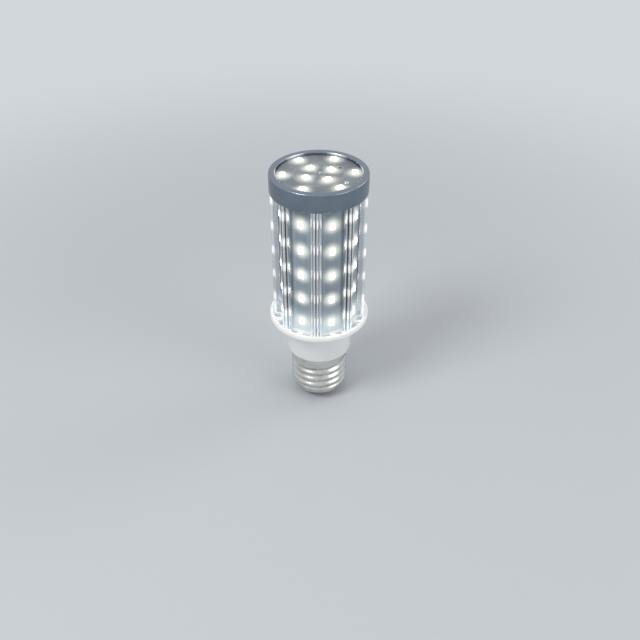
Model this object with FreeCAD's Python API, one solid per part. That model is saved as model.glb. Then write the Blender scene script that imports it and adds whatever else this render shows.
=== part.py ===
import FreeCAD, Part
import math
import os

os.makedirs("parts", exist_ok=True)

# Corn LED bulb with a 27 mm screw cap. Millimetres, +Z up the axis, origin at the tip of the centre contact.
# Angles are counted from the front (-Y) towards +X; a fin cluster faces the front.

# Screw cap
thread_major_r = 13.10
thread_depth = 1.05
thread_pitch = 3.629
thread_turns = 4
thread_land = 0.60
thread_facets = 40
thread_ledge = 0.30
shell_wall = 0.35
shell_bottom_z = 4.80
cap_height = 26.00
shell_turn_in = 0.80
contact_r = 4.80
contact_thickness = 1.10
contact_stem_r = 1.20
contact_stem_top_z = 6.20
insulator_bottom_r = 6.60
insulator_clearance = 0.03
insulator_seat_height = 1.60

# Base housing: spigot in the cap, neck and flange dish in one moulding
neck_r = 14.65
neck_height = 17.50
neck_wall = 1.75
neck_step = 1.20
spigot_clearance = 0.15
spigot_bottom_z = 9.50
spigot_wall = 1.55
wire_notch_width = 1.80
wire_notch_height = 5.00
flange_r = 22.43
flange_height = 2.70
flange_floor = 1.30
flange_rim_wall = 1.40
flange_edge = 0.50
vent_rim_gap = 0.58
vent_depth = 2.70
rib_width = 2.30
rib_foot_gap = 0.15
rib_drop = 0.25
rail_width = 4.60
rail_depth = 1.80
rail_clearance = 0.10

# Heat sink: one extrusion, eight flats with four fins at each corner
side_count = 8
flat_apothem = 15.60
heat_sink_length = 62.50
bore_r = 13.90
fin_pitch = 1.29
tall_fin_width = 0.60
tall_fin_tip_r = 20.60
tall_groove_floor_r = 16.60
lip_fin_width = 0.55
lip_fin_tip_r = 19.50
lip_groove_floor_r = 18.00
lip_overlap = 0.45

# LED strips and LEDs
strip_width = 10.00
strip_thickness = 1.00
strip_foot_gap = 0.20
strip_overhang = 2.20
channel_clearance = 0.10
led_width = 2.80
led_length = 3.50
led_thickness = 0.70
led_rows = 5
led_pitch = 12.17
first_led_above_foot = 5.50

# End cap and top board
end_cap_r = 20.87
end_cap_height = 8.20
end_cap_wall = 2.81
board_tab_reach = 1.60
board_tab_width = 4.00
board_tab_height = 1.50
board_tab_count = 4
top_board_drop = 1.25
top_board_thickness = 1.00
top_board_clearance = 0.11
top_led_phase = 38.0
top_outer_count = 6
top_outer_r = 15.05
top_inner_count = 4
top_inner_r = 6.30
dark_lead_r = 10.60
dark_lead_angle = 126.4
bright_lead_r = 13.40
bright_lead_angle = 59.1

# Driver
driver_board_width = 22.60
driver_foot_width = 16.40
driver_board_thickness = 1.20
driver_foot_above_spigot = 3.00
driver_board_height = 45.50
driver_seat_gap = 0.10
part_standoff = 0.10
input_capacitor_r = 5.00
input_capacitor_height = 12.40
output_capacitor_size = (7.20, 4.20, 9.00)
film_capacitor_size = (9.00, 4.60, 8.50)
transformer_size = (10.00, 8.40, 10.20)
transformer_leg = 2.20
bridge_size = (4.00, 2.40, 4.80)
chip_size = (5.00, 1.20, 6.00)
fuse_size = (8.40, 4.00, 7.60)
leg_width = 0.60
lead_width = 1.30
lead_start_x = 5.00
ribbon_width = 1.50
ribbon_thickness = 0.30
jumper_width = 0.90
jumper_foot = 1.40
jumper_thickness = 0.25

# Heights that follow from the sizes above
thread_root_r = thread_major_r - thread_depth
shell_bore_r = thread_root_r - shell_wall
neck_bottom_z = cap_height
flange_bottom_z = neck_bottom_z + neck_height
flange_top_z = flange_bottom_z + flange_height
floor_top_z = flange_bottom_z + flange_floor
heat_sink_top_z = floor_top_z + heat_sink_length
end_cap_bottom_z = heat_sink_top_z
end_cap_top_z = end_cap_bottom_z + end_cap_height
top_board_top_z = end_cap_top_z - top_board_drop
top_board_bottom_z = top_board_top_z - top_board_thickness
end_cap_bore_r = end_cap_r - end_cap_wall
strip_front = flat_apothem + strip_thickness
strip_bottom_z = floor_top_z + strip_foot_gap
strip_top_z = heat_sink_top_z + strip_overhang
first_led_z = floor_top_z + first_led_above_foot
corner_angle = 360.0 / side_count
half_corner = corner_angle / 2
neck_bore_r = neck_r - neck_wall
rim_inner_r = flange_r - flange_rim_wall
vent_outer_r = rim_inner_r - vent_rim_gap
vent_inner_r = vent_outer_r - vent_depth
rib_foot_r = vent_inner_r + rib_foot_gap
board_half_width = driver_board_width / 2
board_face_y = driver_board_thickness / 2
spigot_r = shell_bore_r - spigot_clearance
spigot_bore_r = spigot_r - spigot_wall
neck_step_z = neck_bottom_z + neck_step
board_shoulder_z = neck_step_z + driver_seat_gap
driver_foot_z = spigot_bottom_z + driver_foot_above_spigot
driver_top_z = driver_foot_z + driver_board_height

AXIS = FreeCAD.Vector(0, 0, 1)
CENTRE = FreeCAD.Vector(0, 0, 0)


def at(radius, angle, z=0.0):
    """Point at a radius and an angle from the front."""
    turn = math.radians(angle)
    return FreeCAD.Vector(radius * math.sin(turn), -radius * math.cos(turn), z)


def turned(shape, angle):
    """Copy of a shape turned about the bulb's axis, positive from the front towards +X."""
    copy = shape.copy()
    copy.rotate(CENTRE, AXIS, angle)
    return copy


def revolved(points):
    """Solid of revolution from (radius, z) points."""
    corners = [FreeCAD.Vector(radius, 0, z) for radius, z in points]
    outline = Part.makePolygon(corners + corners[:1])
    return Part.Face(outline).revolve(CENTRE, AXIS, 360)


def cylinder(radius, bottom_z, top_z, x=0.0, y=0.0):
    return Part.makeCylinder(radius, top_z - bottom_z, FreeCAD.Vector(x, y, bottom_z))


def box(x_range, y_range, z_range):
    size = [high - low for low, high in (x_range, y_range, z_range)]
    return Part.makeBox(*size, FreeCAD.Vector(x_range[0], y_range[0], z_range[0]))


def save(name, *solids):
    shape = solids[0] if len(solids) == 1 else Part.makeCompound(list(solids))
    shape.exportStep("parts/" + name + ".step")


# Screw cap: contact, glass insulator and threaded shell
def centre_contact():
    return revolved([
        (0, 0),
        (contact_r, 0),
        (contact_r, contact_thickness),
        (contact_stem_r, contact_thickness),
        (contact_stem_r, contact_stem_top_z),
        (0, contact_stem_top_z),
    ])


def cap_insulator():
    bore = contact_stem_r + insulator_clearance
    seat_r = shell_bore_r - insulator_clearance
    return revolved([
        (bore, contact_thickness),
        (insulator_bottom_r, contact_thickness),
        (seat_r, shell_bottom_z),
        (seat_r, shell_bottom_z + insulator_seat_height),
        (bore, shell_bottom_z + insulator_seat_height),
    ])


def knuckles(bottom_z, top_z):
    """Faceted rings, one to each turn of the thread, between the first crest and the collar."""
    step = 360.0 / thread_facets
    sections = [(thread_major_r - thread_ledge, bottom_z)]
    first_crest_z = bottom_z - thread_land / 2
    for turn in range(thread_turns):
        crest_z = first_crest_z + turn * thread_pitch
        if turn:
            sections.append((thread_major_r, crest_z))
        sections.append((thread_root_r, crest_z + thread_pitch / 2))
    sections.append((thread_major_r - thread_ledge, top_z))
    rings = [[at(radius, facet * step, z) for facet in range(thread_facets)] for radius, z in sections]
    faces = []
    for lower, upper in zip(rings, rings[1:]):
        for facet in range(thread_facets):
            following = (facet + 1) % thread_facets
            corners = [lower[facet], lower[following], upper[following], upper[facet]]
            faces.append(Part.Face(Part.makePolygon(corners + corners[:1])))
    for ring in (rings[0], rings[-1]):
        faces.append(Part.Face(Part.makePolygon(ring + ring[:1])))
    return Part.makeSolid(Part.makeShell(faces))


def cap_shell():
    """Shell with a round first crest and a round collar, and faceted knuckles between them."""
    land_bottom_z = shell_bottom_z + shell_turn_in * 2
    land_top_z = land_bottom_z + thread_land
    collar_z = land_bottom_z + thread_turns * thread_pitch
    foot = revolved([
        (0, shell_bottom_z),
        (thread_major_r - shell_turn_in, shell_bottom_z),
        (thread_major_r, land_bottom_z),
        (thread_major_r, land_top_z),
        (0, land_top_z),
    ])
    collar = cylinder(thread_major_r, collar_z, cap_height)
    solid = foot.fuse([knuckles(land_top_z, collar_z), collar])
    return solid.cut(cylinder(shell_bore_r, shell_bottom_z - 1, cap_height + 1)).removeSplitter()


# Base housing: one white moulding
def vent(from_angle, to_angle):
    """Slot through the flange floor between two angles."""
    corners = [
        at(vent_inner_r, from_angle),
        at(vent_inner_r, to_angle),
        at(vent_outer_r, to_angle),
        at(vent_outer_r, from_angle),
    ]
    slot = Part.Face(Part.makePolygon(corners + corners[:1])).extrude(AXIS * (flange_floor + 2))
    slot.translate(AXIS * (flange_bottom_z - 1))
    return slot


def flange_rib():
    """Gusset that slopes from the rim down to the flange floor."""
    sunk_r = rim_inner_r + flange_rim_wall / 2
    rib_top_z = flange_top_z - rib_drop
    half = rib_width / 2
    corners = [
        FreeCAD.Vector(half, -rib_foot_r, floor_top_z),
        FreeCAD.Vector(half, -rib_foot_r, floor_top_z - flange_floor / 2),
        FreeCAD.Vector(half, -sunk_r, floor_top_z - flange_floor / 2),
        FreeCAD.Vector(half, -sunk_r, rib_top_z),
        FreeCAD.Vector(half, -rim_inner_r, rib_top_z),
    ]
    return Part.Face(Part.makePolygon(corners + corners[:1])).extrude(FreeCAD.Vector(-rib_width, 0, 0))


def board_rail(direction):
    """Grooved rail for one edge of the driver board."""
    ends = sorted((direction * (neck_bore_r - rail_depth), direction * (neck_bore_r + neck_wall / 2)))
    slot_ends = sorted((0, direction * (board_half_width + rail_clearance)))
    slot_y = board_face_y + rail_clearance
    rail = box(ends, (-rail_width / 2, rail_width / 2), (neck_step_z, floor_top_z))
    return rail.cut(box(slot_ends, (-slot_y, slot_y), (neck_step_z - 1, floor_top_z + 1)))


def base_housing():
    moulding = revolved([
        (spigot_bore_r, spigot_bottom_z),
        (spigot_r, spigot_bottom_z),
        (spigot_r, neck_bottom_z),
        (neck_r, neck_bottom_z),
        (neck_r, flange_bottom_z),
        (flange_r, flange_bottom_z),
        (flange_r, flange_top_z - flange_edge),
        (flange_r - flange_edge, flange_top_z),
        (rim_inner_r, flange_top_z),
        (rim_inner_r, floor_top_z),
        (neck_bore_r, floor_top_z),
        (neck_bore_r, neck_step_z),
        (spigot_bore_r, neck_step_z),
    ])
    half_rib = math.degrees(rib_width / 2 / vent_inner_r)
    half_cluster = math.degrees((fin_pitch * 1.5 + lip_fin_width) / vent_inner_r)
    added = []
    removed = []
    for side in range(side_count):
        start = side * corner_angle
        middle = start + half_corner
        added.append(turned(flange_rib(), middle))
        removed.append(vent(start + half_cluster, middle - half_rib))
        removed.append(vent(middle + half_rib, start + corner_angle - half_cluster))
    for direction in (-1, 1):
        added.append(board_rail(direction))
    half_notch = wire_notch_width / 2
    notch_z = (spigot_bottom_z - 1, spigot_bottom_z + wire_notch_height)
    removed.append(box((spigot_bore_r - 1, spigot_r + 1), (-half_notch, half_notch), notch_z))
    housing = moulding.fuse(added)
    return housing.cut(removed).removeSplitter()


# Heat sink section, drawn at one corner: u runs out along the corner, v to the side
def corner_point(u, v, angle):
    turn = math.radians(angle)
    return FreeCAD.Vector(u * math.sin(turn) + v * math.cos(turn), -u * math.cos(turn) + v * math.sin(turn), 0)


def channel_point(apothem, along):
    """Corner coordinates of a point given from the strip's own flat."""
    turn = math.radians(half_corner)
    u = apothem * math.cos(turn) + along * math.sin(turn)
    v = apothem * math.sin(turn) - along * math.cos(turn)
    return u, v


def fin_corner(angle):
    """Outline of the four fins at one corner, from one flat to the next."""
    wall_along = strip_width / 2 + channel_clearance
    lip_apothem = strip_front + channel_clearance
    lip_v = fin_pitch * 1.5
    lip_half = lip_fin_width / 2
    tall_v = fin_pitch / 2
    tall_half = tall_fin_width / 2
    points = [
        channel_point(flat_apothem, wall_along),
        channel_point(lip_apothem, wall_along),
        channel_point(lip_apothem, strip_width / 2 - lip_overlap),
        (lip_fin_tip_r, lip_v + lip_half),
        (lip_fin_tip_r, lip_v - lip_half),
        (lip_groove_floor_r, lip_v - lip_half),
        (lip_groove_floor_r, tall_v + tall_half),
        (tall_fin_tip_r, tall_v + tall_half),
        (tall_fin_tip_r, tall_v - tall_half),
        (tall_groove_floor_r, tall_v - tall_half),
    ]
    mirrored = [(u, -v) for u, v in reversed(points)]
    return [corner_point(u, v, angle) for u, v in points + mirrored]


def heat_sink():
    outline = []
    for corner in reversed(range(side_count)):
        outline += fin_corner(corner * corner_angle)
    body = Part.Face(Part.makePolygon(outline + outline[:1])).extrude(AXIS * heat_sink_length)
    body.translate(AXIS * floor_top_z)
    return body.cut(cylinder(bore_r, floor_top_z - 1, heat_sink_top_z + 1))


# LED strips: a board on each flat, held by the lips, with its LEDs
def led_strip():
    return box(
        (-strip_width / 2, strip_width / 2),
        (-strip_front, -flat_apothem),
        (strip_bottom_z, strip_top_z),
    )


def strip_leds():
    leds = []
    for row in range(led_rows):
        z = first_led_z + row * led_pitch
        leds.append(box(
            (-led_width / 2, led_width / 2),
            (-strip_front - led_thickness, -strip_front),
            (z - led_length / 2, z + led_length / 2),
        ))
    return leds


def strip_jumper():
    """Tinned ribbon from one strip's top pads to the next strip's, across a corner."""
    u, v = channel_point(strip_front, strip_width / 2)
    foot_u, foot_v = channel_point(strip_front, strip_width / 2 - jumper_foot)
    height = strip_overhang / 2
    outer = [(foot_u, foot_v), (u, v), (u, -v), (foot_u, -foot_v)]
    shift = FreeCAD.Vector(0, -jumper_thickness, 0)
    lower = [corner_point(*point, 0) for point in outer]
    upper = [point + shift for point in reversed(lower)]
    ribbon = Part.Face(Part.makePolygon(lower + upper + lower[:1]))
    ribbon = ribbon.extrude(AXIS * jumper_width)
    ribbon.translate(AXIS * (heat_sink_top_z + height - jumper_width / 2))
    return ribbon


# End cap: a turned ring with four tabs that carry the top board
def end_cap():
    ring = revolved([
        (end_cap_bore_r, end_cap_bottom_z),
        (end_cap_r, end_cap_bottom_z),
        (end_cap_r, end_cap_top_z),
        (end_cap_bore_r, end_cap_top_z),
    ])
    tab = box(
        (-board_tab_width / 2, board_tab_width / 2),
        (-end_cap_bore_r - end_cap_wall / 2, board_tab_reach - end_cap_bore_r),
        (top_board_bottom_z - board_tab_height, top_board_bottom_z),
    )
    spacing = 360.0 / board_tab_count
    return ring.fuse([turned(tab, number * spacing) for number in range(board_tab_count)]).removeSplitter()


def top_board():
    return cylinder(end_cap_bore_r - top_board_clearance, top_board_bottom_z, top_board_top_z)


def top_leds():
    leds = []
    for count, radius in ((top_outer_count, top_outer_r), (top_inner_count, top_inner_r)):
        for number in range(count):
            led = box(
                (-led_length / 2, led_length / 2),
                (-radius - led_width / 2, -radius + led_width / 2),
                (top_board_top_z, top_board_top_z + led_thickness),
            )
            leds.append(turned(led, top_led_phase + number * 360.0 / count))
    return leds


# Driver board and its parts
def on_board(size, low_z, face, x=0.0):
    """Block on one face of the board: face 1 is the +Y side, face -1 the -Y side."""
    width, depth, height = size
    ends = sorted((face * board_face_y, face * (board_face_y + depth)))
    return box((x - width / 2, x + width / 2), ends, (low_z, low_z + height))


def driver_board():
    foot_half = driver_foot_width / 2
    outline = [
        (-foot_half, driver_foot_z),
        (foot_half, driver_foot_z),
        (foot_half, board_shoulder_z),
        (board_half_width, board_shoulder_z),
        (board_half_width, driver_top_z),
        (-board_half_width, driver_top_z),
        (-board_half_width, board_shoulder_z),
        (-foot_half, board_shoulder_z),
    ]
    corners = [FreeCAD.Vector(x, -board_face_y, z) for x, z in outline]
    board = Part.Face(Part.makePolygon(corners + corners[:1]))
    return board.extrude(FreeCAD.Vector(0, driver_board_thickness, 0))


def input_capacitor(low_z):
    """Electrolytic can lying along the board."""
    return cylinder(input_capacitor_r, low_z, low_z + input_capacitor_height, 0, board_face_y + input_capacitor_r)


def transformer_core(low_z):
    """Closed ferrite frame round the winding."""
    width, depth, height = transformer_size
    window = (width + 2, depth - 2 * transformer_leg, height - 2 * transformer_leg)
    opening = on_board(window, low_z + transformer_leg, -1)
    opening.translate(FreeCAD.Vector(0, -transformer_leg, 0))
    middle = on_board((width, transformer_leg, height), low_z, -1)
    middle.translate(FreeCAD.Vector(0, -(depth - transformer_leg) / 2, 0))
    return on_board(transformer_size, low_z, -1).cut(opening).fuse(middle).removeSplitter()


def transformer_winding(low_z):
    """Taped coil on the middle leg, between the outer legs."""
    width, depth, height = transformer_size
    gap = part_standoff
    window_depth = depth - 2 * transformer_leg
    window_height = height - 2 * transformer_leg
    coil_size = (width + transformer_leg, window_depth - 2 * gap, window_height - 2 * gap)
    coil = on_board(coil_size, low_z + transformer_leg + gap, -1)
    coil.translate(FreeCAD.Vector(0, -transformer_leg - gap, 0))
    leg = on_board((width + 2 * gap, transformer_leg + 2 * gap, height), low_z, -1)
    leg.translate(FreeCAD.Vector(0, -(depth - transformer_leg) / 2 + gap, 0))
    return coil.cut(leg)


def bridge_rectifier(low_z):
    width, depth, height = bridge_size
    pieces = []
    for side in (-1, 1):
        for z in (low_z + height * 0.2, low_z + height * 0.8 - leg_width):
            pieces.append(on_board((leg_width * 2, depth / 2, leg_width), z, 1, side * (width + leg_width) / 2))
    return on_board(bridge_size, low_z, 1).fuse(pieces).removeSplitter()


def live_ribbon():
    """From the contact's stem up to the board's foot."""
    half_width = ribbon_width / 2
    half_thickness = ribbon_thickness / 2
    height = (contact_stem_top_z + part_standoff / 2, driver_foot_z - part_standoff / 2)
    return box((-half_width, half_width), (-half_thickness, half_thickness), height)


def neutral_ribbon():
    """From the board's foot through the spigot's notch to the shell."""
    half_width = ribbon_width / 2
    reach = (driver_foot_width / 2 + part_standoff / 2, shell_bore_r - part_standoff / 2)
    return box(reach, (-half_width, half_width), (driver_foot_z, driver_foot_z + ribbon_thickness))


def led_lead(radius, angle, side):
    """Flat lead from the driver's top edge up the bore to the top board's underside."""
    half = lead_width / 2
    low_y = side * (board_face_y + part_standoff)
    low_z = driver_top_z - lead_width
    end = at(radius, angle, top_board_bottom_z - part_standoff / 2)
    low = [FreeCAD.Vector(lead_start_x + shift, low_y, low_z) for shift in (-half, half)]
    high = [FreeCAD.Vector(end.x + shift, end.y, end.z) for shift in (half, -half)]
    strip = Part.Face(Part.makePolygon(low + high + low[:1]))
    return strip.extrude(FreeCAD.Vector(0, side * ribbon_thickness, 0))


# Places of the driver's parts up the board
neck_part_z = board_shoulder_z + 0.7
bore_part_z = floor_top_z + 1.7
bridge_z = driver_foot_z + 5.5
fuse_z = driver_foot_z + 2.0
chip_z = neck_part_z + transformer_size[2] + 1.2

save("centre_contact", centre_contact())
save("cap_insulator", cap_insulator())
save("cap_shell", cap_shell())
save("base_housing", base_housing())
save("heat_sink", heat_sink())
for side in range(side_count):
    angle = half_corner + side * corner_angle
    save("led_strip_%d" % (side + 1), turned(led_strip(), angle))
    save("strip_leds_%d" % (side + 1), *[turned(led, angle) for led in strip_leds()])
save("strip_jumpers", *[turned(strip_jumper(), corner * corner_angle) for corner in range(1, side_count)])
save("end_cap", end_cap())
save("top_board", top_board())
save("top_leds", *top_leds())
save("driver_board", driver_board())
save("input_capacitor", input_capacitor(neck_part_z))
save("output_capacitor", on_board(output_capacitor_size, bore_part_z, -1))
save("film_capacitor", on_board(film_capacitor_size, bore_part_z, 1))
save("transformer_core", transformer_core(neck_part_z))
save("transformer_winding", transformer_winding(neck_part_z))
save("driver_chip", on_board(chip_size, chip_z, -1))
save("bridge_rectifier", bridge_rectifier(bridge_z))
save("input_fuse", on_board(fuse_size, fuse_z, -1))
save("live_ribbon", live_ribbon())
save("neutral_ribbon", neutral_ribbon())
save("led_lead_dark", led_lead(dark_lead_r, dark_lead_angle, 1))
save("led_lead_bright", led_lead(bright_lead_r, bright_lead_angle, -1))
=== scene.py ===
import math

import bmesh
import bpy
from mathutils import Matrix, Vector


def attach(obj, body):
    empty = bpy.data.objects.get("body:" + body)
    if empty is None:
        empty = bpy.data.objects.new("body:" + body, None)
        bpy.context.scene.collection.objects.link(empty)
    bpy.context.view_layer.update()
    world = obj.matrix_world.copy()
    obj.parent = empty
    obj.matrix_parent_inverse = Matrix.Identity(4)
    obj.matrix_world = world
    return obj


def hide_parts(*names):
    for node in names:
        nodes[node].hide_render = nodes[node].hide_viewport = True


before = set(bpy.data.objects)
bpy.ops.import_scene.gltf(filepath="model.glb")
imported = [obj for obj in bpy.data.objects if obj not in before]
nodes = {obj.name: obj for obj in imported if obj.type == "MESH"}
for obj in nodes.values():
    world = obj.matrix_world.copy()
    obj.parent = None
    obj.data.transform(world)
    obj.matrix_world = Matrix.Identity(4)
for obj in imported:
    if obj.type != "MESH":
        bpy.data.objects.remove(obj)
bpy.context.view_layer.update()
print("frame loaded,", len(nodes), "nodes")

mm = 0.001
sideCount = 8
sideAngle = 360 / sideCount
levels = {  # heights in millimetres, from the contact's tip
    "shellBottom": 4.8,
    "capRim": 26.0,
    "neckStep": 27.2,
    "flangeBottom": 43.5,
    "floorTop": 44.8,
    "flangeTop": 46.2,
    "finTop": 107.3,
    "boardBottom": 113.25,
    "boardTop": 114.25,
    "top": 115.5,
}


# shader maths, written as plain expressions
class Signal:
    def __init__(self, bench, socket):
        self.bench = bench
        self.socket = socket

    def worked(self, operation, *others):
        return self.bench.add("ShaderNodeMath", {"operation": operation}, dict(enumerate((self, *others))))

    def reflected(self, operation, other):
        return self.bench.add("ShaderNodeMath", {"operation": operation}, {0: other, 1: self})

    def __add__(self, other):
        return self.worked("ADD", other)

    def __radd__(self, other):
        return self.reflected("ADD", other)

    def __sub__(self, other):
        return self.worked("SUBTRACT", other)

    def __rsub__(self, other):
        return self.reflected("SUBTRACT", other)

    def __mul__(self, other):
        return self.worked("MULTIPLY", other)

    def __rmul__(self, other):
        return self.reflected("MULTIPLY", other)

    def __truediv__(self, other):
        return self.worked("DIVIDE", other)

    def __pow__(self, other):
        return self.worked("POWER", other)


class Bench:
    def __init__(self, owner):
        owner.use_nodes = True
        self.tree = owner.node_tree

    def add(self, kind, settings, inputs, output=0):
        node = self.tree.nodes.new(kind)
        for key, value in settings.items():
            setattr(node, key, value)
        for key, value in inputs.items():
            self.feed(node.inputs[key], value)
        return Signal(self, node.outputs[output])

    def feed(self, socket, value):
        if isinstance(value, Signal):
            self.tree.links.new(value.socket, socket)
        elif isinstance(value, (tuple, list)) and socket.type == "RGBA":
            socket.default_value = (*value, 1)
        else:
            socket.default_value = value

    def fade(self, value, low, high, start=0.0, end=1.0):
        inputs = {"Value": value, "From Min": low, "From Max": high, "To Min": start, "To Max": end}
        return self.add("ShaderNodeMapRange", {"interpolation_type": "SMOOTHSTEP"}, inputs)

    def blend(self, mask, first, second):
        return self.add("ShaderNodeMix", {"data_type": "RGBA"}, {0: mask, 6: first, 7: second}, 2)


class Finish(Bench):
    def __init__(self, name):
        self.material = bpy.data.materials.new(name)
        super().__init__(self.material)
        self.surface = self.tree.nodes["Principled BSDF"]
        self.place = self.add("ShaderNodeTexCoord", {}, {}, "Object")

    def set(self, **values):  # baseColor goes into the socket Base Color, and so on
        for key, value in values.items():
            name = "".join(" " + letter if letter.isupper() else letter for letter in key)
            self.feed(self.surface.inputs[name[0].upper() + name[1:]], value)
        return self.material

    def noise(self, scale, stretch=(1, 1, 1), detail=3):
        place = self.add("ShaderNodeMapping", {}, {"Vector": self.place, "Scale": stretch})
        inputs = {"Vector": place, "Scale": scale, "Detail": detail, "Roughness": 0.55}
        return self.add("ShaderNodeTexNoise", {}, inputs, "Fac")

    def split(self):
        parts = self.tree.nodes.new("ShaderNodeSeparateXYZ")
        self.feed(parts.inputs[0], self.place)
        return [Signal(self, socket) for socket in parts.outputs]

    def relief(self, height, depth, strength):
        inputs = {"Height": height, "Distance": depth, "Strength": strength}
        self.feed(self.surface.inputs["Normal"], self.add("ShaderNodeBump", {}, inputs))


def length(first, second):
    return (first * first + second * second).worked("SQRT")


def bearing(x, y):  # from the front, towards +X
    return x.worked("ARCTAN2", 0 - y)


def offStep(turn, step):  # angle from the nearest whole step
    return ((turn / step + 0.5).worked("FRACT") - 0.5) * step


# finishes; a pair of numbers is where a fade starts and where it is full, in millimetres
black = (0, 0, 0)
glow = {  # painted halo round an LED's middle; its colours also tint the other painted LED light
    "reach": (6.2, 1.4),
    "fall": 2.0,
    "inner": (1.0, 0.975, 0.90),
    "outer": (0.90, 0.88, 0.58),
}
spill = {"reach": (60.0, 45.5), "colour": (0.58, 0.66, 0.70)}  # painted light, for the light thrown back up by the white flange
strip = {
    "front": 16.6,
    "firstRow": 50.30,
    "rows": 5,
    "pitch": 12.17,
    "trace": 3.35,  # copper runs up both edges under the mask
    "traceEdge": (0.62, 0.48),
    # these mask colours stand for a white mask seen in shade: painted shade
    "colours": ((0.25, 0.31, 0.36), (0.30, 0.36, 0.41)),
    "halo": 0.60,
}


def fromRow(z):
    row = ((z - strip["firstRow"]) / strip["pitch"]).worked("ROUND").worked("MAXIMUM", 0.0)
    return z - strip["firstRow"] - row.worked("MINIMUM", strip["rows"] - 1.0) * strip["pitch"]


aluminium = {
    "dark": (0.46, 0.49, 0.53),
    "light": (0.66, 0.69, 0.73),
    "roughness": 0.20,
    "streak": 0.80,  # strength of the LEDs' mirrored streaks, painted reflections in the emission
    "streakRise": 3.2,
    "streakReach": (3.8, 0.8),
    "streakFall": 1.3,
    "line": 0.22,  # painted light between the streaks
    "slot": 0.25,  # share of the flange's painted light that reaches the slots
    "deep": 0.06,  # share of the streaks that reaches the slots
    "lip": 0.60,  # lips' share of the streaks
    "lipAside": (1.50, 1.65),
    "lipFrom": (19.15, 19.40),
    "lipTo": (19.75, 19.60),
    "wallAside": (0.75, 0.90),  # the tall fins' outer faces
    "wallFrom": (19.50, 19.80),
    "tipFrom": (20.15, 20.40),
}


def extrudedAluminium():
    finish = Finish("extruded_aluminium")
    lines = finish.noise(1500, (1, 1, 0.012))  # die lines run up the fins
    broad = finish.noise(180, (1, 1, 0.15))
    patina = finish.noise(90)
    finish.relief(lines, 0.01 * mm, 0.6)
    tone = finish.fade(lines * 0.6 + broad * 0.4, 0.30, 0.70)
    x, y, z = finish.split()
    outward = length(x, y) / mm
    # the painted reflections sit streakRise above each LED row, where the mirrored LEDs fall on the fins
    along = fromRow(z / mm - aluminium["streakRise"]).worked("ABSOLUTE")
    aside = (offStep(bearing(x, y), math.radians(sideAngle)) * outward).worked("ABSOLUTE")
    lips = finish.fade(aside, *aluminium["lipAside"]) * finish.fade(outward, *aluminium["lipFrom"])
    lips = lips * finish.fade(outward, *aluminium["lipTo"]) * aluminium["lip"]
    walls = finish.fade(aside, *aluminium["wallAside"]) * finish.fade(outward, *aluminium["wallFrom"])
    tips = finish.fade(outward, *aluminium["tipFrom"]).worked("MAXIMUM", walls).worked("MAXIMUM", lips)
    # the emission paints the LEDs' reflections on the fins and the flange's light near the floor
    peaks = finish.fade(along, *aluminium["streakReach"]) ** aluminium["streakFall"]
    lit = peaks.worked("MAXIMUM", aluminium["line"]) * (aluminium["deep"] + (1 - aluminium["deep"]) * tips)
    spilled = finish.fade(z / mm, *spill["reach"]) * (aluminium["slot"] + (1 - aluminium["slot"]) * tips)
    spilled = finish.blend(spilled, black, spill["colour"])
    return finish.set(
        baseColor=finish.blend(tone, aluminium["dark"], aluminium["light"]),
        roughness=aluminium["roughness"] + lines * 0.12 + finish.fade(patina, 0.4, 0.7) * 0.06,
        metallic=1.0,
        emissionColor=finish.blend(lit * (0.55 + 0.45 * lines), spilled, glow["inner"]),
        emissionStrength=aluminium["streak"],
    )


topBoard = {
    "radius": 17.95,
    "rings": ((6, 15.05), (4, 6.30)),  # LEDs and ring radius
    "phase": 38.0,
    "darkHole": (10.60, 126.4, 0.9),  # radius, angle, size
    "drops": ((13.40, 59.1, 1.15, 0.55), (1.67, 163.6, 0.60, 0.24)),  # solder: radius, angle, size, height
    "pad": (0.05, 0.42, -0.02, 0.04),  # round the hole: inner and outer edge, bottom and top
    "traces": (10.6, 2.2),
    "traceEdge": (0.70, 0.52),
    # these mask colours stand for a white mask seen in shade: painted shade
    "colours": ((0.20, 0.225, 0.25), (0.26, 0.285, 0.31)),
    "halo": 0.55,
    "haloSize": 1.05,  # against the strips' halos
}


def offRing(turn, count):
    return offStep(turn - math.radians(topBoard["phase"]), 2 * math.pi / count)


cap = {
    # the side is painted darker than the top rim: painted shade on the side, painted light on the rim
    "side": (0.20, 0.235, 0.285),
    "rim": (0.30, 0.335, 0.385),
    "roughness": 0.28,
    "rimFrom": (115.0, 115.4),
    "glint": 0.75,  # painted reflection of the outer LEDs, mirrored in the bore
    "glintReach": (5.5, 1.0),
    "wallFrom": (18.42, 18.25),
    "wallUp": (114.75, 115.15),
}


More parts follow.
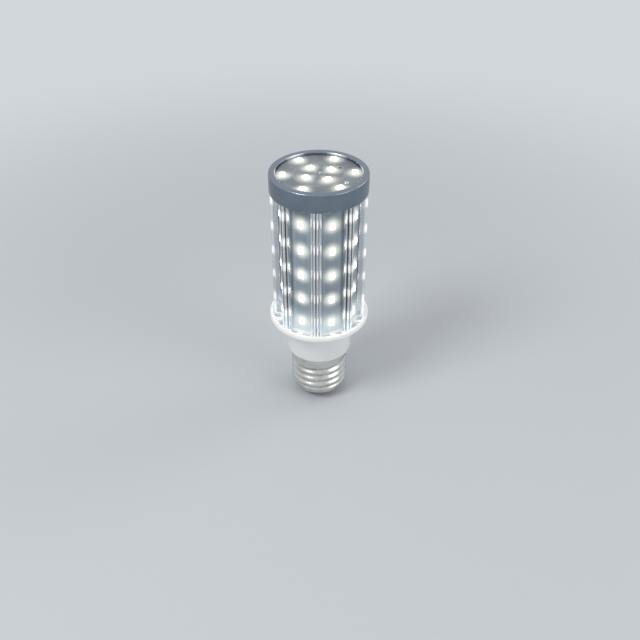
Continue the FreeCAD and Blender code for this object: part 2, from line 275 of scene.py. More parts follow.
def satinCap():
    finish = Finish("satin_end_cap")
    x, y, z = finish.split()
    turning = finish.noise(2600, (0.02, 0.02, 1), 2)  # fine rings left by the turning tool
    grain = finish.noise(5200, detail=2)
    smears = finish.noise(140)
    finish.relief(turning * 0.5 + grain * 0.5, 0.008 * mm, 0.5)
    # the top rim gets the paler colour: painted light
    rim = finish.fade(z / mm, *cap["rimFrom"])
    outward = length(x, y) / mm
    aside = (offRing(bearing(x, y), topBoard["rings"][0][0]) * outward).worked("ABSOLUTE")
    wall = finish.fade(outward, *cap["wallFrom"]) * (0.30 + 0.70 * finish.fade(z / mm, *cap["wallUp"]))
    # painted glints: the outer LEDs' reflections on the bore's wall and edge
    glints = finish.fade(aside, *cap["glintReach"]) * wall * (0.5 + 0.5 * grain)
    side = finish.blend(finish.fade(smears, 0.35, 0.65), cap["side"], tuple(c * 1.10 for c in cap["side"]))
    return finish.set(
        baseColor=finish.blend(rim, side, cap["rim"]),
        roughness=cap["roughness"] + grain * 0.10 - rim * 0.08,
        metallic=1.0,
        emissionColor=finish.blend(glints, black, glow["inner"]),
        emissionStrength=cap["glint"],
    )


moulding = {
    "white": (0.88, 0.885, 0.88),
    "shade": (0.83, 0.835, 0.83),
    "roughness": 0.34,
    "lit": 0.13,  # painted light: the LEDs light the flange
    "litUp": (43.6, 45.0),
    "litOut": (15.0, 18.0),
}


def whiteMoulding():
    finish = Finish("white_moulding")
    flow = finish.noise(55, (1, 1, 0.6))
    pitting = finish.noise(6500, detail=2)
    finish.relief(pitting, 0.01 * mm, 0.35)
    x, y, z = finish.split()
    # painted light on the flange's floor and rim near the fins
    lit = finish.fade(z / mm, *moulding["litUp"]) * finish.fade(length(x, y) / mm, *moulding["litOut"])
    return finish.set(
        baseColor=finish.blend(finish.fade(flow, 0.35, 0.7), moulding["white"], moulding["shade"]),
        roughness=moulding["roughness"] + pitting * 0.10,
        emissionColor=finish.blend(lit, black, glow["inner"]),
        emissionStrength=moulding["lit"],
    )


nickel = {"clean": (0.70, 0.69, 0.66), "dull": (0.55, 0.53, 0.49), "roughness": 0.20}


def nickelPlate():
    finish = Finish("nickel_plate")
    rolled = finish.noise(1700, (0.05, 0.05, 1), 2)
    finish.relief(rolled, 0.012 * mm, 0.5)
    dulled = finish.fade(finish.noise(210), 0.42, 0.72)
    return finish.set(
        baseColor=finish.blend(dulled, nickel["clean"], nickel["dull"]),
        roughness=nickel["roughness"] + dulled * 0.12 + rolled * 0.05,
        metallic=1.0,
    )


def meltedMetal(name, colour, roughness, lit=0.0):
    finish = Finish(name)
    puddles = finish.noise(900)
    finish.relief(puddles, 0.03 * mm, 0.6)
    return finish.set(
        baseColor=finish.blend(finish.fade(puddles, 0.3, 0.7), colour, tuple(c * 0.86 for c in colour)),
        roughness=roughness + puddles * 0.16,
        metallic=1.0,
        # lit paints a glow on the solder: painted light
        emissionColor=glow["outer"],
        emissionStrength=lit,
    )


def plainFinish(name, colour, roughness, grain, depth=0.01):
    finish = Finish(name)
    speckle = finish.noise(grain, detail=2)
    clouds = finish.fade(finish.noise(grain / 14), 0.3, 0.7)
    finish.relief(speckle, depth * mm, 0.6)
    return finish.set(
        baseColor=finish.blend(clouds, colour, tuple(c * 0.80 for c in colour)),
        roughness=roughness + speckle * 0.14,
    )


def darkGlass():
    finish = Finish("cap_glass")
    waves = finish.noise(260)
    finish.relief(waves, 0.05 * mm, 0.5)
    return finish.set(
        baseColor=finish.blend(waves, (0.018, 0.017, 0.022), (0.045, 0.040, 0.050)),
        roughness=0.08 + waves * 0.08,
        coatWeight=0.4,
    )


# a board's mask: distance gives how far the nearest LED is, where copper lies and the flange's light; the LEDs'
# halos and the flange's light are painted light in the emission
def maskFinish(name, distance, colours, strength):
    finish = Finish(name)
    x, y, z = finish.split()
    away, traces, spilled = distance(finish, x / mm, y / mm, z / mm)
    near = finish.fade(away, *glow["reach"]) ** glow["fall"]
    coat = finish.noise(3200, detail=2)
    tone = finish.fade(finish.noise(160), 0.35, 0.65)
    finish.relief(coat * 0.2 + traces, 0.03 * mm, 0.6)
    halo = finish.blend(near, glow["outer"], glow["inner"])
    # the white mask, painted darker as painted shade
    mask = finish.blend(tone, *colours)
    return finish.set(
        baseColor=finish.blend(traces * 0.5, mask, tuple(c * 1.22 for c in colours[1])),
        roughness=0.34 + coat * 0.12,
        # emission: painted halos round the LEDs and the flange's painted light
        emissionColor=finish.blend(near, finish.blend(spilled, black, spill["colour"]), halo),
        emissionStrength=strength,
    )


def toStripLed(finish, x, y, z):
    offMiddle = offStep(bearing(x, y) - math.radians(sideAngle / 2), math.radians(sideAngle))
    across = offMiddle.worked("TANGENT") * strip["front"]
    trace = (across.worked("ABSOLUTE") - strip["trace"]).worked("ABSOLUTE")
    away = length(across, fromRow(z))
    return away, finish.fade(trace, *strip["traceEdge"]), finish.fade(z, *spill["reach"])


def toTopLed(finish, x, y, z):
    turn = bearing(x, y)
    radius = length(x, y)
    outer, inner = [length(offRing(turn, count) * ring, radius - ring) for count, ring in topBoard["rings"]]
    first, second = [(radius - trace).worked("ABSOLUTE") for trace in topBoard["traces"]]
    traces = finish.fade(first.worked("MINIMUM", second), *topBoard["traceEdge"])
    return outer.worked("MINIMUM", inner) / topBoard["haloSize"], traces, 0.0


ledLight = {"resin": 0.42, "window": 12.0, "solder": 0.35}  # strength of each part of an LED: the window is the LED's own light; the resin's glow is partly its own scattered light and partly painted bloom; the solder's glow is painted light


def ledBody():
    finish = Finish("led_body")
    resin = finish.noise(2600, detail=2)
    return finish.set(
        baseColor=finish.blend(resin, (0.74, 0.75, 0.74), (0.82, 0.82, 0.80)),
        roughness=0.30 + resin * 0.1,
        # the resin's emission: partly scattered LED light, partly painted bloom
        emissionColor=finish.blend(resin, (0.95, 0.93, 0.84), (1.0, 0.98, 0.90)),
        emissionStrength=ledLight["resin"],
    )


def ledPhosphor():
    finish = Finish("led_phosphor_lit")
    gel = finish.noise(3800, detail=2)
    return finish.set(
        baseColor=finish.blend(gel, (0.95, 0.90, 0.66), (0.98, 0.95, 0.78)),
        roughness=0.25 + gel * 0.1,
        emissionColor=finish.blend(gel, (1.0, 0.97, 0.88), (1.0, 0.99, 0.94)),
        emissionStrength=ledLight["window"],
    )


stripMask = maskFinish("strip_mask", toStripLed, strip["colours"], strip["halo"])
boardMask = maskFinish("board_mask", toTopLed, topBoard["colours"], topBoard["halo"])
tinned = meltedMetal("tinned_copper", (0.66, 0.66, 0.64), 0.22)
solder = meltedMetal("solder", (0.78, 0.79, 0.80), 0.14)
# painted glow on the solder beside the LEDs
litSolder = meltedMetal("solder_painted_glow", (0.78, 0.79, 0.80), 0.14, ledLight["solder"])
print("finishes made")


# making of pieces; sizes in millimetres
def around(radius, angle, z):
    turn = math.radians(angle)
    return Vector((radius * math.sin(turn), -radius * math.cos(turn), z)) * mm


def turned(angle):
    return Matrix.Rotation(math.radians(angle), 4, "Z")


def rounded(bm, edges, width, segments):
    bmesh.ops.bevel(bm, geom=edges, offset=width * mm, offset_type="OFFSET", segments=segments,
                    profile=0.5, affect="EDGES", material=-1)


def pushed(bm, faces, way):
    grown = bmesh.ops.extrude_face_region(bm, geom=faces)["geom"]
    verts = [item for item in grown if isinstance(item, bmesh.types.BMVert)]
    bmesh.ops.translate(bm, verts=verts, vec=Vector(way) * mm)


def uprights(bm, least):
    return [edge for edge in bm.edges if abs(edge.verts[0].co.z - edge.verts[1].co.z) > least * mm]


def lathe(profile, steps, closed=True):
    bm = bmesh.new()
    verts = [bm.verts.new((radius * mm, 0, z * mm)) for radius, z in profile]
    edges = [bm.edges.new(pair) for pair in zip(verts, verts[1:])]
    if closed:
        edges.append(bm.edges.new((verts[-1], verts[0])))
    bmesh.ops.spin(bm, geom=verts + edges, cent=(0, 0, 0), axis=(0, 0, 1), angle=2 * math.pi,
                   steps=steps, use_merge=True, use_duplicate=False)
    bmesh.ops.remove_doubles(bm, verts=bm.verts, dist=0.0005 * mm)
    bmesh.ops.recalc_face_normals(bm, faces=bm.faces)
    return bm


def roundRings(bm, rings, segments=4):
    near = 0.004 * mm
    for radius, z, width in rings:
        ring = [edge for edge in bm.edges if all(
            abs(vert.co.xy.length - radius * mm) < near and abs(vert.co.z - z * mm) < near
            for vert in edge.verts)]
        rounded(bm, ring, width, segments)


def sector(inner, outer, low, high, start, sweep, corner):
    bm = bmesh.new()
    ends = [bm.verts.new(around(radius, start, low)) for radius in (inner, outer)]
    bmesh.ops.spin(bm, geom=[*ends, bm.edges.new(ends)], cent=(0, 0, 0), axis=(0, 0, 1),
                   angle=math.radians(sweep), steps=8, use_duplicate=False)
    pushed(bm, list(bm.faces), (0, 0, high - low))
    bmesh.ops.remove_doubles(bm, verts=bm.verts, dist=0.0005 * mm)
    bmesh.ops.recalc_face_normals(bm, faces=bm.faces)
    posts = [edge for edge in uprights(bm, (high - low) / 2) if edge.calc_face_angle(0) > 1.0]
    rounded(bm, posts, corner, 3)
    return bm


def block(size, middle, edge=0.0):
    bm = bmesh.new()
    bmesh.ops.create_cube(bm, size=1)
    bmesh.ops.scale(bm, vec=Vector(size) * mm, verts=bm.verts)
    bmesh.ops.translate(bm, vec=Vector(middle) * mm, verts=bm.verts)
    if edge:
        rounded(bm, list(bm.edges), edge, 2)
    return bm


def rod(radius, depth, middle, segments):
    bm = bmesh.new()
    bmesh.ops.create_cone(bm, cap_ends=True, segments=segments, radius1=radius * mm, radius2=radius * mm,
                          depth=depth * mm)
    bmesh.ops.translate(bm, verts=bm.verts, vec=middle)
    return bm


def put(target, source, place=Matrix.Identity(4), material=0):
    mesh = bpy.data.meshes.new("loose")
    source.to_mesh(mesh)
    mesh.transform(place)
    before = len(target.faces)
    target.from_mesh(mesh)
    bpy.data.meshes.remove(mesh)
    target.faces.ensure_lookup_table()
    if material:
        for face in target.faces[before:]:
            face.material_index = material


def asObject(name, bm):
    mesh = bpy.data.meshes.new(name)
    bm.to_mesh(mesh)
    bm.free()
    made = bpy.data.objects.new(name, mesh)
    bpy.context.scene.collection.objects.link(made)
    return made


def carve(bm, cutters):
    body = asObject("body", bm)
    tool = asObject("tool", cutters)
    cut = body.modifiers.new("cut", "BOOLEAN")
    cut.object = tool
    cut.operation = "DIFFERENCE"
    cut.solver = "EXACT"
    mesh = bpy.data.meshes.new_from_object(body.evaluated_get(bpy.context.evaluated_depsgraph_get()))
    carved = bmesh.new()
    carved.from_mesh(mesh)
    for temporary in (body, tool):
        bpy.data.objects.remove(temporary)
    bpy.data.meshes.remove(mesh)
    return carved


def finished(name, bm, materials, slot, *replaced, sharp=32):
    made = asObject(name, bm)
    for material in materials:
        made.data.materials.append(material)
    made.data.polygons.foreach_set("use_smooth", [True] * len(made.data.polygons))
    made.data.set_sharp_from_angle(angle=math.radians(sharp))
    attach(made, "root")
    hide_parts(*replaced)


def eased(name, node, width, material, slot):  # a CAD node's own solids with rounded edges
    bm = bmesh.new()
    bm.from_mesh(nodes[node].data)
    bmesh.ops.remove_doubles(bm, verts=bm.verts, dist=0.0005 * mm)
    bmesh.ops.dissolve_limit(bm, angle_limit=math.radians(0.5), verts=bm.verts, edges=bm.edges)
    rounded(bm, [edge for edge in bm.edges if edge.calc_face_angle(0) > math.radians(40)], width, 3)
    finished(name, bm, [material], slot, node)


# screw cap: domed contact, glass, and the shell with its rolled thread
contact = {
    "radius": 4.8,
    "flat": 2.6,
    "bend": (4.3, 0.35),  # radius and height
    "edge": 0.7,
    "thickness": 1.1,
    "stem": 1.2,
    "stemTop": 6.2,
}
contactBody = lathe([
    (0, 0), (contact["flat"], 0), contact["bend"], (contact["radius"], contact["edge"]),
    (contact["radius"], contact["thickness"]), (contact["stem"], contact["thickness"]),
    (contact["stem"], contact["stemTop"]), (0, contact["stemTop"]),
], 96, closed=False)
roundRings(contactBody, [
    (contact["flat"], 0, 0.5), (*contact["bend"], 0.2), (contact["radius"], contact["edge"], 0.15),
], 3)
finished("contact_button", contactBody, [tinned], "tin_plate", "centre_contact")

glass = {"bottom": 6.6, "steps": ((8.2, 2.0), (10.2, 3.6)), "seat": (11.67, 4.9), "bore": 1.23, "top": 6.4}
glassBody = lathe([
    (glass["bore"], contact["thickness"]), (glass["bottom"], contact["thickness"]), *glass["steps"],
    glass["seat"], (glass["seat"][0], glass["top"]), (glass["bore"], glass["top"]),
], 128)
roundRings(glassBody, [(glass["bottom"], contact["thickness"], 0.4), *[(*step, 0.6) for step in glass["steps"]]])
finished("glass_insulator", glassBody, [darkGlass()], "cap_glass", "cap_insulator")

thread = {
    "crest": 13.1,
    "depth": 1.05,
    "pitch": 3.629,
    "start": 6.2,
    "end": 21.6,
    "lead": 1.6,  # height over which the thread grows and dies away
    "ease": 0.7,
    "bore": 11.70,
    "foot": 12.35,
    "footIn": 0.35,
    "collar": 12.98,
    "rim": 0.10,
    "rimHeight": 0.45,
    "dents": 8,
    "dentHeight": 24.0,
    "dentReach": 0.85,
    "dentDepth": 0.32,
    "rungs": 124,
}


def shellRadius(z, turn):
    knuckle = thread["crest"] - thread["depth"] / 2 * (1 - math.cos(2 * math.pi * (z / thread["pitch"] - turn)))
    low = min(max((z - thread["start"]) / thread["lead"], 0), 1)
    high = min(max((thread["end"] - z) / thread["lead"], 0), 1)
    radius = thread["collar"] + (knuckle - thread["collar"]) * high ** thread["ease"]
    below = max(thread["start"] - z, 0) / (thread["start"] - levels["shellBottom"])
    turnedIn = thread["foot"] - thread["footIn"] * below
    radius = turnedIn + (radius - turnedIn) * low ** thread["ease"]
    if z > levels["capRim"] - thread["rimHeight"]:
        radius += thread["rim"]
    for dent in range(thread["dents"]):
        across = (turn * thread["dents"] - dent) % thread["dents"]
        across = min(across, thread["dents"] - across) / thread["dents"] * 2 * math.pi * thread["collar"]
        away = math.hypot(across, z - thread["dentHeight"])
        if away < thread["dentReach"]:
            radius -= thread["dentDepth"] * (1 - (away / thread["dentReach"]) ** 2)
    return radius


rungStep = (levels["capRim"] - levels["shellBottom"]) / thread["rungs"]
wall = [(12.6, levels["shellBottom"] + rungStep * rung) for rung in range(thread["rungs"] + 1)]
shellBody = lathe([(thread["bore"], levels["shellBottom"]), *wall, (thread["bore"], levels["capRim"])], 192)
for vert in shellBody.verts:
    if vert.co.xy.length > 12.2 * mm:  # the outer wall only
        turn = math.atan2(vert.co.y, vert.co.x) / (2 * math.pi) % 1.0
        vert.co.xy *= shellRadius(vert.co.z / mm, turn) * mm / vert.co.xy.length
finished("thread_shell", shellBody, [nickelPlate()], "nickel_plate", "cap_shell", sharp=40)
print("screw cap made")

# housing: spigot, neck and flange in one white moulding
housing = {
    "spigot": 11.55,
    "spigotBore": 10.0,
    "spigotFoot": 9.5,
    "keyway": (5, 1.8, 6),
    "keywayUp": 2,
    "neck": 14.65,
    "neckBore": 12.9,
    "flange": 22.43,
    "rim": 21.03,
    "edge": 0.6,
    "ventInner": 17.75,
    "ventOuter": 20.45,
    "ventCorner": 0.35,
    "clear": (1, 0.6),  # how far the vents' cutters stand past the floor
    "finHalf": 2.485,
    "ribWidth": 2.3,
    "ribFoot": 17.9,
    "ribOut": 21.73,
    "ribTop": 45.95,
    "ribEdge": 0.22,
    "sunk": 0.6,  # how far ribs stand down into the floor
    "rail": (2.7, 1.6),
    "railOut": 12.45,
    "railAside": 1.5,
}
housingBody = lathe([
    (housing["spigotBore"], housing["spigotFoot"]), (housing["spigot"], housing["spigotFoot"]),
    (housing["spigot"], levels["capRim"]), (housing["neck"], levels["capRim"]),
    (housing["neck"], levels["flangeBottom"]), (housing["flange"], levels["flangeBottom"]),
    (housing["flange"], levels["flangeTop"]), (housing["rim"], levels["flangeTop"]),
    (housing["rim"], levels["floorTop"]), (housing["neckBore"], levels["floorTop"]),
    (housing["neckBore"], levels["neckStep"]), (housing["spigotBore"], levels["neckStep"]),
], 192)
cutters = bmesh.new()
halfRib = math.degrees(housing["ribWidth"] / 2 / housing["ventInner"])
halfFins = math.degrees(housing["finHalf"] / housing["ventInner"])
ventSpan = levels["flangeBottom"] - housing["clear"][0], levels["floorTop"] + housing["clear"][1]
for side in range(sideCount):
    start = side * sideAngle
    middle = start + sideAngle / 2
    vents = (start + halfFins, middle - halfRib), (middle + halfRib, start + sideAngle - halfFins)
    for fromAngle, toAngle in vents:
        put(cutters, sector(housing["ventInner"], housing["ventOuter"], *ventSpan,
                            fromAngle, toAngle - fromAngle, housing["ventCorner"]))
put(cutters, block(housing["keyway"], (housing["spigot"], 0, housing["spigotFoot"] + housing["keywayUp"])))
housingBody = carve(housingBody, cutters)
roundRings(housingBody, [
    (housing["flange"], levels["flangeTop"], housing["edge"]), (housing["rim"], levels["flangeTop"], 0.35),
    (housing["flange"], levels["flangeBottom"], housing["edge"]), (housing["neck"], levels["capRim"], 0.5),
    (housing["neck"], levels["flangeBottom"], 0.8), (housing["spigot"], housing["spigotFoot"], 0.3),
])
gusset = bmesh.new()
ribBottom = levels["floorTop"] - housing["sunk"]
outline = [
    (housing["ribFoot"], levels["floorTop"]), (housing["ribFoot"], ribBottom), (housing["ribOut"], ribBottom),
    (housing["ribOut"], housing["ribTop"]), (housing["rim"], housing["ribTop"]),
]
corners = [gusset.verts.new(Vector((housing["ribWidth"] / 2, -radius, z)) * mm) for radius, z in outline]
pushed(gusset, [gusset.faces.new(corners)], (-housing["ribWidth"], 0, 0))
bmesh.ops.recalc_face_normals(gusset, faces=gusset.faces)
rounded(gusset, list(gusset.edges), housing["ribEdge"], 3)
for side in range(sideCount):
    put(housingBody, gusset, turned((side + 0.5) * sideAngle))
railHeight = levels["floorTop"] - levels["neckStep"]
for direction in (-1, 1):
    for lean in (-1, 1):
        middle = (direction * housing["railOut"], lean * housing["railAside"], levels["neckStep"] + railHeight / 2)
        put(housingBody, block((*housing["rail"], railHeight), middle, 0.2))
finished("neck_and_flange", housingBody, [whiteMoulding()], "white_plastic", "base_housing")
print("housing made")

# heat sink: one extruded section with rounded fin tips, drawn at a corner (out, aside) and repeated
fins = {
    "flat": 15.6,
    "channel": 5.1,
    "lipInside": 16.7,
    "lipEdge": 4.55,
    "lipTip": 19.5,
    "lipAside": (1.66, 2.21),
    "lipFloor": 18.0,
    "tallTip": 20.6,
    "tallAside": (0.345, 0.945),
    "tallFloor": 16.6,
    "bore": 13.9,
    "round": 0.13,
}


def fromFlat(apothem, along):
    turn = math.radians(sideAngle / 2)
    return apothem * math.cos(turn) + along * math.sin(turn), apothem * math.sin(turn) - along * math.cos(turn)


halfSection = [
    fromFlat(fins["flat"], fins["channel"]), fromFlat(fins["lipInside"], fins["channel"]),
    fromFlat(fins["lipInside"], fins["lipEdge"]),
    (fins["lipTip"], fins["lipAside"][1]), (fins["lipTip"], fins["lipAside"][0]),
    (fins["lipFloor"], fins["lipAside"][0]), (fins["lipFloor"], fins["tallAside"][1]),
    (fins["tallTip"], fins["tallAside"][1]), (fins["tallTip"], fins["tallAside"][0]),
    (fins["tallFloor"], fins["tallAside"][0]),
]
wholeCorner = halfSection + [(out, -aside) for out, aside in reversed(halfSection)]
finBody = bmesh.new()
section = []
for side in reversed(range(sideCount)):
    place = turned(side * sideAngle)
    for out, aside in wholeCorner:
        section.append(finBody.verts.new(place @ Vector((aside, -out, levels["floorTop"])) * mm))
pushed(finBody, [finBody.faces.new(section)], (0, 0, levels["finTop"] - levels["floorTop"]))
bmesh.ops.recalc_face_normals(finBody, faces=finBody.faces)
rounded(finBody, uprights(finBody, 1), fins["round"], 3)
finBody = carve(finBody, rod(fins["bore"], 80, around(0, 0, (levels["floorTop"] + levels["finTop"]) / 2), 128))
finished("fin_body", finBody, [extrudedAluminium()], "satin_aluminium", "heat_sink")
print("heat sink made")

# end cap and the round board in it
endCap = {
    "radius": 20.87,
    "bore": 18.06,
    "outerEdge": 0.45,
    "innerEdge": 0.30,
    "lowerEdge": 0.35,
    "tabs": 4,
    "tab": (4, 3.0, 1.5),
    "tabIn": 0.1,
}
capBody = lathe([
    (endCap["bore"], levels["finTop"]), (endCap["radius"], levels["finTop"]),
    (endCap["radius"], levels["top"]), (endCap["bore"], levels["top"]),
], 192)
roundRings(capBody, [
    (endCap["radius"], levels["top"], endCap["outerEdge"]), (endCap["bore"], levels["top"], endCap["innerEdge"]),
    (endCap["radius"], levels["finTop"], endCap["lowerEdge"]),
], 5)
tabPlace = (0, endCap["tabIn"] - endCap["bore"], levels["boardBottom"] - endCap["tab"][2] / 2)
tab = block(endCap["tab"], tabPlace, 0.2)
for number in range(endCap["tabs"]):
    put(capBody, tab, turned(number * 360 / endCap["tabs"]))
finished("end_cap_ring", capBody, [satinCap()], "cast_silver", "end_cap")

discBody = lathe([
    (0, levels["boardBottom"]), (topBoard["radius"], levels["boardBottom"]),
    (topBoard["radius"], levels["boardTop"]), (0, levels["boardTop"]),
], 176, closed=False)
roundRings(discBody, [(topBoard["radius"], levels["boardTop"], 0.12)], 2)
holeRadius, holeAngle, holeSize = topBoard["darkHole"]
discBody = carve(discBody, rod(holeSize, 3, around(holeRadius, holeAngle, levels["boardTop"] - 0.5), 40))
for radius, angle, size, height in topBoard["drops"]:
    drop = bmesh.new()
    bmesh.ops.create_uvsphere(drop, u_segments=28, v_segments=16, radius=size * mm)
    bmesh.ops.scale(drop, vec=(1, 1, height / size), verts=drop.verts)
    put(discBody, drop, Matrix.Translation(around(radius, angle, levels["boardTop"])), 1)
padIn, padOut = [holeSize + width for width in topBoard["pad"][:2]]
padLow, padHigh = [levels["boardTop"] + height for height in topBoard["pad"][2:]]
pad = lathe([(padIn, padLow), (padOut, padLow), (padOut, padHigh), (padIn, padHigh)], 40)
put(discBody, pad, Matrix.Translation(around(holeRadius, holeAngle, 0)), 1)
finished("top_disc", discBody, [boardMask, solder], "board_white", "top_board")
print("end cap and top board made")

# LED packages: resin body, lit window and solder ends; made once, lying flat, and set in place
led = {
    "body": (2.8, 3.5, 0.7),
    "edge": 0.12,
    "window": (2.1, 2.7, 0.2),
    "windowSunk": 0.02,
    "windowCorner": 0.7,
    "windowEdge": 0.07,
    "solder": (1.9, 0.55, 0.3),
    "solderOut": 0.12,
    "solderUp": 0.13,
}
package = bmesh.new()
reach, height = led["body"][1:]
put(package, block(led["body"], (0, 0, height / 2), led["edge"]))
window = block(led["window"], (0, 0, height - led["windowSunk"]))
rounded(window, uprights(window, 0.1), led["windowCorner"], 4)
brim = [edge for edge in window.edges if all(vert.co.z > height * mm for vert in edge.verts)]
rounded(window, brim, led["windowEdge"], 2)
put(package, window, material=1)
for end in (-1, 1):
    put(package, block(led["solder"], (0, end * (reach / 2 + led["solderOut"]), led["solderUp"]), 0.1), material=2)
ledMaterials = [ledBody(), ledPhosphor(), litSolder]
standing = Matrix.Translation((0, -strip["front"] * mm, 0)) @ Matrix.Rotation(math.radians(90), 4, "X")
for side in range(sideCount):
    row = bmesh.new()
    for number in range(strip["rows"]):
        rise = Matrix.Translation((0, 0, (strip["firstRow"] + number * strip["pitch"]) * mm))
        put(row, package, rise @ turned((side + 0.5) * sideAngle) @ standing)
    finished("led_row_" + str(side + 1), row, ledMaterials, "led_phosphor", "strip_leds_" + str(side + 1))
crown = bmesh.new()
for count, radius in topBoard["rings"]:
    for number in range(count):
        angle = topBoard["phase"] + number * 360 / count
        put(crown, package, Matrix.Translation(around(radius, angle, levels["boardTop"])) @ turned(angle + 90))
finished("led_crown", crown, ledMaterials, "led_phosphor", "top_leds")
print("LEDs made")

# strip boards, wires and driver parts: the frame's own solids with eased edges
for side in range(sideCount):
    number = str(side + 1)
    eased("strip_board_" + number, "led_strip_" + number, 0.10, stripMask, "board_white")

green = plainFinish("driver_board_green", (0.045, 0.20, 0.075), 0.36, 3000)
sleeve = plainFinish("can_film", (0.045, 0.06, 0.15), 0.22, 900)
epoxy = plainFinish("dipped_epoxy", (0.42, 0.055, 0.035), 0.18, 700, 0.04)
ferrite = plainFinish("ferrite_grey", (0.06, 0.06, 0.065), 0.62, 2200, 0.02)
tape = plainFinish("winding_tape", (0.70, 0.55, 0.10), 0.40, 1500)
chip = plainFinish("chip_resin", (0.022, 0.022, 0.024), 0.48, 3400)
tan = plainFinish("fuse_tan", (0.50, 0.38, 0.22), 0.46, 1200)
blackSheath = plainFinish("black_sheath", (0.018, 0.018, 0.018), 0.42, 1600)
redSheath = plainFinish("red_sheath", (0.50, 0.025, 0.018), 0.42, 1600)
insides = (  # piece, node, edge radius, material, slot
    ("tinned_jumpers", "strip_jumpers", 0.05, tinned, "tin_plate"),
    ("live_wire", "live_ribbon", 0.05, tinned, "tin_plate"),
    ("neutral_wire", "neutral_ribbon", 0.05, tinned, "tin_plate"),
    ("green_board", "driver_board", 0.08, green, "board_green"),
    ("output_can", "output_capacitor", 0.60, sleeve, "capacitor_film"),
    ("dipped_film", "film_capacitor", 1.30, epoxy, "red_epoxy"),
    ("ferrite_frame", "transformer_core", 0.25, ferrite, "ferrite"),
    ("taped_coil", "transformer_winding", 0.30, tape, "coil_tape"),
    ("control_chip", "driver_chip", 0.15, chip, "chip_black"),
    ("bridge_block", "bridge_rectifier", 0.12, chip, "chip_black"),
    ("fuse_block", "input_fuse", 0.45, tan, "fuse_tan"),
    ("dark_lead", "led_lead_dark", 0.10, blackSheath, "lead_black"),
    ("red_lead", "led_lead_bright", 0.10, redSheath, "lead_red"),
)
for inside in insides:
    eased(*inside)

# input capacitor: sleeved can with a crimp groove and a bare top
can = {"crimp": 0.35, "crimpHeight": 2.0, "fold": 0.40, "lip": 0.90, "sunk": 0.15, "foot": 0.50, "edge": 0.15}
spots = [vert.co for vert in nodes["input_capacitor"].data.vertices]
lows, highs = [[pick(spot[axis] for spot in spots) / mm for axis in range(3)] for pick in (min, max)]
canRadius = (highs[0] - lows[0]) / 2
canHeight = highs[2] - lows[2]
shoulder = canRadius - can["lip"]
canTop = canHeight - can["sunk"]
groove = (canRadius - can["crimp"], can["crimpHeight"])
canBody = lathe([
    (0, can["foot"]), (shoulder, can["foot"]), (shoulder, 0),
    (canRadius - can["fold"], 0), (canRadius, can["fold"]),
    (canRadius, can["crimpHeight"] - can["crimp"]), groove, (canRadius, can["crimpHeight"] + can["crimp"]),
    (canRadius, canHeight - can["fold"]), (canRadius - can["fold"], canHeight),
    (shoulder, canHeight), (shoulder, canTop), (0, canTop),
], 72, closed=False)
roundRings(canBody, [(canRadius, can["fold"], can["edge"]), (canRadius, canHeight - can["fold"], can["edge"]),
                     (*groove, can["edge"])], 2)
for face in canBody.faces:
    middle = face.calc_center_median() / mm
    bare = middle.z > canTop - can["edge"] and middle.xy.length < shoulder - 0.01
    face.material_index = 1 if bare else 0
canPlace = Vector(((lows[0] + highs[0]) / 2, (lows[1] + highs[1]) / 2, lows[2])) * mm
bmesh.ops.translate(canBody, verts=canBody.verts, vec=canPlace)
finished("input_can", canBody, [sleeve, solder], "capacitor_film", "input_capacitor")
print("strips, wires and driver made")

# floor, light and camera
backdrop = (0.64, 0.675, 0.71)  # pale grey that the floor fades into


def raysThatSee(bench):
    first, second, third = [bench.add("ShaderNodeLightPath", {}, {}, "Is " + kind + " Ray")
                            for kind in ("Camera", "Glossy", "Transmission")]
    return first.worked("MAXIMUM", second).worked("MAXIMUM", third)


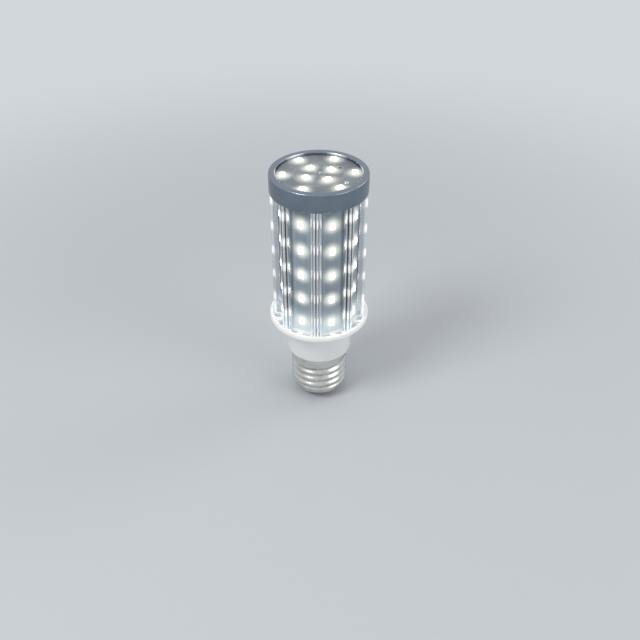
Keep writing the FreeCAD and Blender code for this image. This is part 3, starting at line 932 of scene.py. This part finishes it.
ground = {"size": 12.0, "colour": (0.60, 0.635, 0.67), "roughness": 0.9, "fade": (0.13, 0.48)}  # metres
floorShape = bmesh.new()
bmesh.ops.create_grid(floorShape, x_segments=1, y_segments=1, size=ground["size"] / 2)
floor = asObject("floor", floorShape)
paint = Finish("floor_paint")
x, y, z = paint.split()
farAway = paint.fade(length(x, y), *ground["fade"])
far = paint.add("ShaderNodeEmission", {}, {"Color": backdrop, "Strength": 1.0})
shade = tuple(c * 1.01 for c in ground["colour"])
paint.set(baseColor=paint.blend(paint.noise(3), ground["colour"], shade), roughness=ground["roughness"])
near = Signal(paint, paint.surface.outputs[0])
mixed = paint.add("ShaderNodeMixShader", {}, {0: farAway * raysThatSee(paint), 1: near, 2: far})
paint.feed(paint.tree.nodes["Material Output"].inputs["Surface"], mixed)
floor.data.materials.append(paint.material)

lighting = {"sky": 0.50, "aim": (0, 0, 0.07), "lamps": (
    {"name": "key", "place": (-0.38, -0.34, 0.62), "size": 0.30, "power": 2.2},
    {"name": "fill", "place": (0.55, -0.30, 0.38), "size": 0.45, "power": 0.9},
    {"name": "side", "place": (0.62, 0.34, 0.50), "size": 0.40, "power": 0.8},
)}
world = bpy.data.worlds.new("studio")
bpy.context.scene.world = world
sky = Bench(world)
seen = raysThatSee(sky)
background = sky.tree.nodes["Background"]
sky.feed(background.inputs["Color"], sky.blend(seen, (1, 1, 1), backdrop))
sky.feed(background.inputs["Strength"], sky.fade(seen, 0, 1, lighting["sky"], 1.0))
for lamp in lighting["lamps"]:
    light = bpy.data.lights.new(lamp["name"], "AREA")
    light.shape = "DISK"
    light.size = lamp["size"]
    light.energy = lamp["power"]
    hung = bpy.data.objects.new(lamp["name"], light)
    bpy.context.scene.collection.objects.link(hung)
    hung.location = lamp["place"]
    aim = Vector(lighting["aim"]) - Vector(lamp["place"])
    hung.rotation_euler = aim.to_track_quat("-Z", "Y").to_euler()

shot = {
    "place": (0.01824, -0.29992, 0.26538),
    "ahead": (-0.04729, 0.79780, -0.60106),
    "up": (-0.03556, 0.60001, 0.79920),
    "lens": 45.41,
}
camera = bpy.data.objects.new("camera", bpy.data.cameras.new("camera"))
bpy.context.scene.collection.objects.link(camera)
ahead = Vector(shot["ahead"]).normalized()
right = ahead.cross(Vector(shot["up"])).normalized()
upward = right.cross(ahead)
camera.matrix_world = Matrix.Translation(shot["place"]) @ Matrix((right, upward, -ahead)).transposed().to_4x4()
camera.data.lens = shot["lens"]
camera.data.sensor_width = 36
camera.data.clip_start = 0.01
bpy.context.scene.camera = camera
bpy.context.scene.view_settings.view_transform = "Standard"
print("floor, light and camera set")
